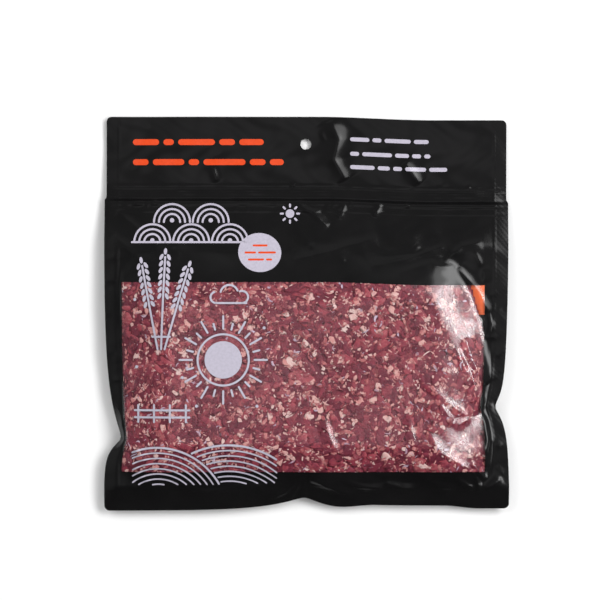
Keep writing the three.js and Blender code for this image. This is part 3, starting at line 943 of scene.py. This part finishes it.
def cloud(bm, left, base):
    """A level base with three bumps over it."""
    line(bm, (left, base), (left + 17, base))
    arc(bm, (left, base + 3.2), 3.2, 1.5 * math.pi, 0.6 * math.pi)
    arc(bm, (left + 7.4, base + 5.2), 5.0, 0.93 * math.pi, 0.12 * math.pi)
    arc(bm, (left + 14.6, base + 3.4), 3.4, 0.62 * math.pi, -0.5 * math.pi)


def fence(bm, left, right, base):
    """Evenly spaced posts and two rails."""
    posts = round((right - left) / 8.5)
    for n in range(posts + 1):
        u = left + (right - left) * n / posts
        line(bm, (u, base), (u, base + 9.5))
    for rail in (2.6, 6.6):
        line(bm, (left - 2, base + rail), (right + 2, base + rail))


# %% Furrowed hills
HILLS = [((-84, -114), 38.5), ((-44, -122), 48), ((-12, -116), 36)]
HILL_LEFT = -98.5
HILL_RIGHT = -17
HILL_BASE = -96.8
FURROW_GAP = 3.0
FURROWS = 9
FURROW_PEN = 0.85
SPAN_STEPS = 360
SHORTEST_SPAN = 7


def furrow_span(centre, radius, hidden_by):
    """The first and last angle at which a furrow shows, or None."""
    shown = []
    for n in range(SPAN_STEPS + 1):
        angle = math.pi * (1 - n / SPAN_STEPS)
        u, v = polar(centre, radius, angle)
        behind = any(math.dist((u, v), hill) < r + FURROW_GAP / 2 for hill, r in hidden_by)
        if HILL_LEFT < u < HILL_RIGHT and v > HILL_BASE and not behind:
            shown.append(angle)
    return (shown[0], shown[-1]) if len(shown) >= SHORTEST_SPAN else None


def hills(bm):
    """Three round hills with furrows, each partly behind the ones before it."""
    for order, (centre, radius) in enumerate(HILLS):
        for n in range(FURROWS):
            inner = radius - n * FURROW_GAP
            span = furrow_span(centre, inner, HILLS[:order])
            if span:
                arc(bm, centre, inner, *span, width=PEN if n == 0 else FURROW_PEN)


# %% The pale ink
def white_picture(bm):
    for n in range(3):
        scallop(bm, (-87.5 + 22 * n, 40.5))
    for n in range(2):
        scallop(bm, (-76.5 + 22 * n, 52.0))
    line(bm, (-99, 40.5), (-31, 40.5))
    wheat_ear(bm, (-84, -20), (-93, 27))
    wheat_ear(bm, (-82, -20), (-80, 32))
    wheat_ear(bm, (-80, -20), (-67, 25))
    line(bm, (-87, -13), (-77, -13))
    cloud(bm, -51, 6)
    sun(bm, (-47, -26), 10.5, 14.4, 24, 17.6, 21.0, 24.6)
    fence(bm, -95, -68, -61)
    hills(bm)
    sun(bm, (-9.5, 56.8), 2.5, 0, 8, 4.0, 5.2, 5.2)
    for u, v in ((-96, -30), (-70, -36), (-28, -52), (-24, -8), (-62, -52), (-97, 8)):
        disc(bm, (u, v), 0.9)


def dashes(bm, left, right, v, height, lengths, gap):
    """A row of dashes with round ends, of lengths taken in turn, from left to right."""
    u = left
    n = 0
    while u < right - height:
        end = min(u + lengths[n % len(lengths)], right)
        line(bm, (u + height / 2, v), (max(u + height / 2 + 0.05, end - height / 2), v), width=height)
        u = end + gap
        n += 1


def white_rows(bm):
    dashes(bm, 24.7, 69.5, 99.6, 2.3, (11, 5.2, 15), 1.7)
    dashes(bm, 24.7, 70.5, 91.4, 2.3, (5.2, 17, 8), 1.7)
    dashes(bm, 24.7, 80.0, 83.8, 2.3, (14, 7, 5.2, 12), 1.7)


def badge(bm):
    disc(bm, (-26.6, 34.6), 11.1, stretch=(1.1, 1.0), turn=-0.15)


# %% The orange ink
def orange_rows(bm):
    dashes(bm, -99.0, -24.4, 97.6, 3.4, (15, 6, 21, 9), 2.4)
    dashes(bm, -99.0, -13.0, 86.2, 3.4, (9, 18, 6, 24), 2.4)


def badge_rows(bm):
    dashes(bm, -30.6, -22.2, 38.6, 1.1, (8.4,), 1)
    dashes(bm, -35.2, -17.4, 34.6, 1.1, (6.5, 10), 1.2)
    dashes(bm, -33.2, -19.6, 30.6, 1.1, (9, 4), 1.2)


white_ink = [ink_piece("print_picture", white_picture), ink_piece("print_rows", white_rows)]
white_ink.append(ink_piece("print_badge", badge))
orange_ink = [ink_piece("print_header", orange_rows)]
orange_ink.append(ink_piece("print_badge_rows", badge_rows, lift=INK))

# %% [markdown]
# ### What shows past the corner of the slab
# The slab's upper right corner is cut off, and there the clear window looks down onto the
# inside of the back film, which carries an orange label.

# %% Orange label behind the window
LABEL = {"left": 84.0, "right": 106.0, "bottom": 0.5, "top": 24.0}
LABEL_STEP = 1.0


def back_label():
    """A rectangle of ink on the inside of the back film."""
    bm = bmesh.new()
    width = LABEL["right"] - LABEL["left"]
    height = LABEL["top"] - LABEL["bottom"]
    columns = round(width / LABEL_STEP)
    rows = round(height / LABEL_STEP)
    bmesh.ops.create_grid(bm, x_segments=columns, y_segments=rows, size=0.5)
    bmesh.ops.scale(bm, vec=(width, height, 1), verts=bm.verts)
    middle = ((LABEL["left"] + LABEL["right"]) / 2, (LABEL["bottom"] + LABEL["top"]) / 2, 0)
    bmesh.ops.translate(bm, vec=middle, verts=bm.verts)
    piece = mesh_object("back_label", bm)
    drape(piece, back_height, lift=FILM + INK + INK_GAP)
    thicken(piece, INK)
    settle(piece)
    return piece


label = back_label()

# %% [markdown]
# ## Materials
# The black film is a glossy laminate: a nearly black colour under a smooth clear face,
# and duller where hot bars pressed a fine hatching into it. Ink lies right behind that
# face and takes some of its shine. The window is the same film without ink, so it is
# see-through and mirrors the lamps more clearly. Meat under film loses its own shine,
# because the film touches it, and is soft and dull.

# %% Material helpers
def new_material(name):
    """A material with its nodes, its links and its main shader."""
    material = bpy.data.materials.new(name)
    material.use_nodes = True
    nodes = material.node_tree.nodes
    return material, nodes, material.node_tree.links, nodes["Principled BSDF"]


def noise_texture(nodes, links, scale, detail, roughness=0.5, distortion=0.0):
    """Noise fixed to the piece, in features of about one scale-th of a metre."""
    coordinate = nodes.new("ShaderNodeTexCoord")
    texture = nodes.new("ShaderNodeTexNoise")
    texture.inputs["Scale"].default_value = scale
    texture.inputs["Detail"].default_value = detail
    texture.inputs["Roughness"].default_value = roughness
    texture.inputs["Distortion"].default_value = distortion
    links.new(coordinate.outputs["Object"], texture.inputs["Vector"])
    return texture


def colour_ramp(nodes, links, source, stops):
    """A ramp through stops of (position, colour), in order."""
    ramp = nodes.new("ShaderNodeValToRGB")
    ramp.color_ramp.elements[0].position = stops[0][0]
    ramp.color_ramp.elements[0].color = (*stops[0][1], 1)
    ramp.color_ramp.elements[1].position = stops[-1][0]
    ramp.color_ramp.elements[1].color = (*stops[-1][1], 1)
    for position, colour in stops[1:-1]:
        element = ramp.color_ramp.elements.new(position)
        element.color = (*colour, 1)
    links.new(source, ramp.inputs["Fac"])
    return ramp.outputs["Color"]


def add_bump(nodes, links, shader, source, strength, distance):
    """Bends a shader's normals as if the source were a relief."""
    bump = nodes.new("ShaderNodeBump")
    bump.inputs["Strength"].default_value = strength
    bump.inputs["Distance"].default_value = distance
    links.new(source, bump.inputs["Height"])
    links.new(bump.outputs["Normal"], shader.inputs["Normal"])


# %% Black film
BLACK_FILM = [(0.3, (0.0042, 0.0041, 0.0043)), (0.7, (0.006, 0.0057, 0.006))]
FILM_ROUGHNESS = 0.15
FILM_IOR = 1.45
INKED_SHINE = 0.28
FACE_ON_SHINE = ((FILM_IOR - 1) / (FILM_IOR + 1)) ** 2
GRAZING_POWER = 5
CLEAR_ROUGHNESS = 0.17
WELD_ROUGHNESS = 0.22
HATCH_PITCH = 0.0019
BANDS_PER_UNIT = 10 * math.sqrt(2)
HATCH_BUMP = 0.14
HATCH_DEPTH = 0.0001


def map_range(nodes, links, source, low, high, to_low, to_high):
    node = nodes.new("ShaderNodeMapRange")
    node.inputs["From Min"].default_value = low
    node.inputs["From Max"].default_value = high
    node.inputs["To Min"].default_value = to_low
    node.inputs["To Max"].default_value = to_high
    links.new(source, node.inputs["Value"])
    return node.outputs["Result"]


def weigh(nodes, links, shares):
    """The sum of some nodes' values, each times its share."""
    total = None
    for source, share in shares:
        node = nodes.new("ShaderNodeMath")
        node.operation = "MULTIPLY_ADD"
        node.inputs[1].default_value = share
        node.inputs[2].default_value = 0
        links.new(source.outputs["Fac"], node.inputs[0])
        if total:
            links.new(total, node.inputs[2])
        total = node.outputs[0]
    return total


def multiply(nodes, links, a, b):
    node = nodes.new("ShaderNodeMath")
    node.operation = "MULTIPLY"
    links.new(a, node.inputs[0])
    links.new(b, node.inputs[1])
    return node.outputs[0]


def black_film_material():
    material, nodes, links, shader = new_material("black_laminate")
    mottle = noise_texture(nodes, links, 60, 3)
    colour = colour_ramp(nodes, links, mottle.outputs["Fac"], BLACK_FILM)
    links.new(colour, shader.inputs["Base Color"])
    weld = nodes.new("ShaderNodeAttribute")
    weld.attribute_name = "weld"
    roughness = map_range(nodes, links, weld.outputs["Fac"], 0, 1, FILM_ROUGHNESS, WELD_ROUGHNESS)
    links.new(roughness, shader.inputs["Roughness"])
    shader.inputs["IOR"].default_value = FILM_IOR
    shader.inputs["Specular IOR Level"].default_value = INKED_SHINE
    coordinate = nodes.new("ShaderNodeTexCoord")
    # A wave texture's diagonal bands turn by 10 radians for each unit along each axis.
    hatch = nodes.new("ShaderNodeTexWave")
    hatch.bands_direction = "DIAGONAL"
    hatch.inputs["Scale"].default_value = 2 * math.pi / (BANDS_PER_UNIT * HATCH_PITCH)
    links.new(coordinate.outputs["Object"], hatch.inputs["Vector"])
    pressed = multiply(nodes, links, hatch.outputs["Fac"], weld.outputs["Fac"])
    add_bump(nodes, links, shader, pressed, HATCH_BUMP, HATCH_DEPTH)
    return material


def clear_film_material():
    """
    Clear film, whose two faces mirror a little head-on and fully at a grazing angle. A Fresnel
    node would take the film's far face for the inside of thick glass, and turn it into a full
    mirror when seen from low down. The fifth power of the facing value treats both alike.
    """
    material = bpy.data.materials.new("clear_laminate")
    material.use_nodes = True
    nodes, links = material.node_tree.nodes, material.node_tree.links
    nodes.remove(nodes["Principled BSDF"])
    clear = nodes.new("ShaderNodeBsdfTransparent")
    gloss = nodes.new("ShaderNodeBsdfGlossy")
    gloss.inputs["Roughness"].default_value = CLEAR_ROUGHNESS
    facing = nodes.new("ShaderNodeLayerWeight")
    grazing = nodes.new("ShaderNodeMath")
    grazing.operation = "POWER"
    grazing.inputs[1].default_value = GRAZING_POWER
    links.new(facing.outputs["Facing"], grazing.inputs[0])
    mirrored = map_range(nodes, links, grazing.outputs[0], 0, 1, FACE_ON_SHINE, 1)
    pressed = noise_texture(nodes, links, 220, 1)
    add_bump(nodes, links, gloss, pressed.outputs["Fac"], 0.12, 0.0004)
    mix = nodes.new("ShaderNodeMixShader")
    links.new(mirrored, mix.inputs["Fac"])
    links.new(clear.outputs["BSDF"], mix.inputs[1])
    links.new(gloss.outputs["BSDF"], mix.inputs[2])
    links.new(mix.outputs["Shader"], nodes["Material Output"].inputs["Surface"])
    return material


# %% Meat and fat
TONE_SHARE = 0.26
BROAD_SHARE = 0.34
FINE_SHARE = 0.4


def meat_material(name, stops, shade_colour, sunk_from=0.5, sunk_to=2.2, soft=0.3):
    """Mottled meat: each piece has a tone, broad and fine fibres shift it, and deep parts are mixed
    towards a painted shade colour.
    """
    material, nodes, links, shader = new_material(name)
    tone = nodes.new("ShaderNodeAttribute")
    tone.attribute_name = "tone"
    broad = noise_texture(nodes, links, 170, 3, 0.6, distortion=1.5)
    fine = noise_texture(nodes, links, 800, 4, 0.65, distortion=2.2)
    shares = [(tone, TONE_SHARE), (broad, BROAD_SHARE), (fine, FINE_SHARE)]
    mixed = weigh(nodes, links, shares)
    colour = colour_ramp(nodes, links, mixed, stops)
    sunk = nodes.new("ShaderNodeAttribute")
    sunk.attribute_name = "sunk"
    depth = map_range(nodes, links, sunk.outputs["Fac"], sunk_from, sunk_to, 0, 1)
    # Painted shade: the deeper a point lies under the film, the more of the shade colour it takes.
    darker = nodes.new("ShaderNodeMix")
    darker.data_type = "RGBA"
    links.new(depth, darker.inputs["Factor"])
    links.new(colour, darker.inputs["A"])
    darker.inputs["B"].default_value = (*shade_colour, 1)
    links.new(darker.outputs["Result"], shader.inputs["Base Color"])
    shader.inputs["Roughness"].default_value = 0.5
    shader.inputs["Specular IOR Level"].default_value = 0.2
    shader.inputs["Subsurface Weight"].default_value = soft
    shader.inputs["Subsurface Radius"].default_value = (1.0, 0.35, 0.3)
    shader.inputs["Subsurface Scale"].default_value = 0.0012
    add_bump(nodes, links, shader, fine.outputs["Fac"], 0.2, 0.0004)
    return material


LEAN = [
    (0.34, (0.135, 0.0185, 0.036)),
    (0.5, (0.22, 0.0315, 0.054)),
    (0.62, (0.355, 0.063, 0.084)),
    (0.74, (0.47, 0.16, 0.17)),
]
PALE = [(0.34, (0.24, 0.042, 0.056)), (0.5, (0.4, 0.105, 0.114)), (0.68, (0.56, 0.235, 0.225))]
FAT = [(0.34, (0.55, 0.215, 0.205)), (0.5, (0.63, 0.345, 0.32)), (0.66, (0.69, 0.51, 0.485))]
SINEW = [(0.34, (0.38, 0.21, 0.28)), (0.66, (0.6, 0.46, 0.57))]
# Painted shade colours, which meat takes where it lies deep under the film; fat takes its own one at
# its rims too.
DEEP_MEAT_SHADE = (0.105, 0.0155, 0.029)
FAT_EDGE_AND_SHADE = (0.36, 0.1, 0.1)
PALE_MEAT_SHADE = (0.165, 0.0245, 0.039)


black_film = black_film_material()
clear_film = clear_film_material()
front.data.materials.append(black_film)
back.data.materials.append(black_film)
window.data.materials.append(clear_film)
lean_meat = meat_material("meat_lean", LEAN, DEEP_MEAT_SHADE)
core.data.materials.append(meat_material("meat_core", LEAN, DEEP_MEAT_SHADE))
lean.data.materials.append(lean_meat)
crumb.data.materials.append(meat_material("meat_pale", PALE, PALE_MEAT_SHADE, 0.2, 1.1))
fat_material = meat_material("meat_fat", FAT, FAT_EDGE_AND_SHADE, 0.25, 1.1, soft=0.0)
for piece in (fat, bits, sliver):
    piece.data.materials.append(fat_material)
sinew.data.materials.append(meat_material("meat_sinew", SINEW, DEEP_MEAT_SHADE))


# %% Inks
def ink_material(name, colour, worn):
    """Ink under the gloss of the film, a little uneven as flexo print is."""
    material, nodes, links, shader = new_material(name)
    patches = noise_texture(nodes, links, 700, 3)
    uneven = colour_ramp(nodes, links, patches.outputs["Fac"], [(0.3, worn), (0.6, colour)])
    links.new(uneven, shader.inputs["Base Color"])
    shader.inputs["Roughness"].default_value = FILM_ROUGHNESS
    shader.inputs["IOR"].default_value = FILM_IOR
    return material


pale_lilac = ink_material("pale_lilac_ink", (0.47, 0.44, 0.525), (0.42, 0.395, 0.47))
orange = ink_material("orange_ink", (0.72, 0.064, 0.011), (0.65, 0.056, 0.009))
for piece in white_ink:
    piece.data.materials.append(pale_lilac)
for piece in orange_ink:
    piece.data.materials.append(orange)
label.data.materials.append(ink_material("orange_label", (0.85, 0.17, 0.06), (0.8, 0.14, 0.045)))

# %% [markdown]
# ## Riding on the frame
# Every piece rides on the root body, and the solids that the pieces stand for are hidden.

# %% Pieces on their solids
for piece in (front, window, back):
    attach(piece, "root")
    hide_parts("pouch")
for piece in mince_pieces:
    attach(piece, "root")
    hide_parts("mince")
for piece in white_ink + orange_ink + [label]:
    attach(piece, "root")
    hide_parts("pouch")

# %% [markdown]
# ## Floor, lamps and camera
# The pack lies on a white table and the camera looks straight down on it. The key light
# is a wide soft box with a brighter core, to the right and a little above, so the shadow
# falls soft to the left and below, and the slopes that face right mirror it. The two fills
# have polarising filters, so they light the meat but leave no mirror image in the film.

# %% Floor
def stage_floor():
    """A white table top, which shows only as light and shadow."""
    bm = bmesh.new()
    bmesh.ops.create_grid(bm, x_segments=1, y_segments=1, size=2.5)
    floor = mesh_object("floor", bm, smooth=False)
    material, nodes, links, shader = new_material("white_table")
    shader.inputs["Base Color"].default_value = (0.88, 0.88, 0.88, 1)
    shader.inputs["Roughness"].default_value = 0.9
    shader.inputs["Specular IOR Level"].default_value = 0.0
    floor.data.materials.append(material)
    return floor


stage_floor()


# %% Lamps
def soft_box(name, place_at, width, height, power):
    """A rectangular lamp that faces the pouch."""
    light = bpy.data.lights.new(name, "AREA")
    light.shape = "RECTANGLE"
    light.size = width
    light.size_y = height
    light.energy = power
    lamp = bpy.data.objects.new(name, light)
    lamp.location = place_at
    lamp.rotation_euler = (-Vector(place_at)).to_track_quat("-Z", "Y").to_euler()
    bpy.context.scene.collection.objects.link(lamp)
    return lamp


soft_box("key_wide", (1.08, 0.46, 1.36), 1.6, 0.85, 21)
soft_box("key_core", (1.17, 0.38, 1.3), 1.05, 0.5, 11.3)
fills = [soft_box("fill_left", (-1.0, 0.8, 1.3), 1.2, 0.9, 11)]
fills.append(soft_box("fill_front", (0.1, -1.1, 1.3), 1.2, 0.9, 6))
for fill in fills:
    fill.visible_glossy = False


# %% The room round the table
# Each stop is the height of a direction, from 0 at the horizon to 1 overhead, and its light.
# It brightens steeply overhead, which is what lets the flat film's slight waves show.
ROOM = [
    (0.0, (0.1, 0.1, 0.1)),
    (0.25, (0.5, 0.5, 0.5)),
    (0.6, (0.5, 0.5, 0.5)),
    (0.82, (0.22, 0.22, 0.22)),
    (0.975, (0.28, 0.28, 0.28)),
    (1.0, (0.82, 0.815, 0.825)),
]
SOUTH = 0.15


def studio_world():
    """A room that is dark in front of the table and paler behind it and overhead."""
    world = bpy.data.worlds.new("studio")
    world.use_nodes = True
    nodes, links = world.node_tree.nodes, world.node_tree.links
    direction = nodes.new("ShaderNodeTexCoord")
    parts = nodes.new("ShaderNodeSeparateXYZ")
    links.new(direction.outputs["Generated"], parts.inputs["Vector"])
    colour = colour_ramp(nodes, links, parts.outputs["Z"], ROOM)
    strength = map_range(nodes, links, parts.outputs["Y"], -0.5, 0.1, SOUTH, 1)
    links.new(strength, nodes["Background"].inputs["Strength"])
    links.new(colour, nodes["Background"].inputs["Color"])
    bpy.context.scene.world = world


studio_world()
bpy.context.scene.view_settings.view_transform = "Standard"

# %% Camera
CAMERA_HEIGHT = 1.4
PICTURE_WIDTH = 0.3424
AIM_X = -0.0038
AIM_Y = 0.0077
SENSOR = 36.0

lens = bpy.data.cameras.new("camera")
lens.sensor_width = SENSOR
lens.lens = SENSOR * CAMERA_HEIGHT / PICTURE_WIDTH
camera = bpy.data.objects.new("camera", lens)
camera.location = (AIM_X, AIM_Y, CAMERA_HEIGHT)
bpy.context.scene.collection.objects.link(camera)
bpy.context.scene.camera = camera
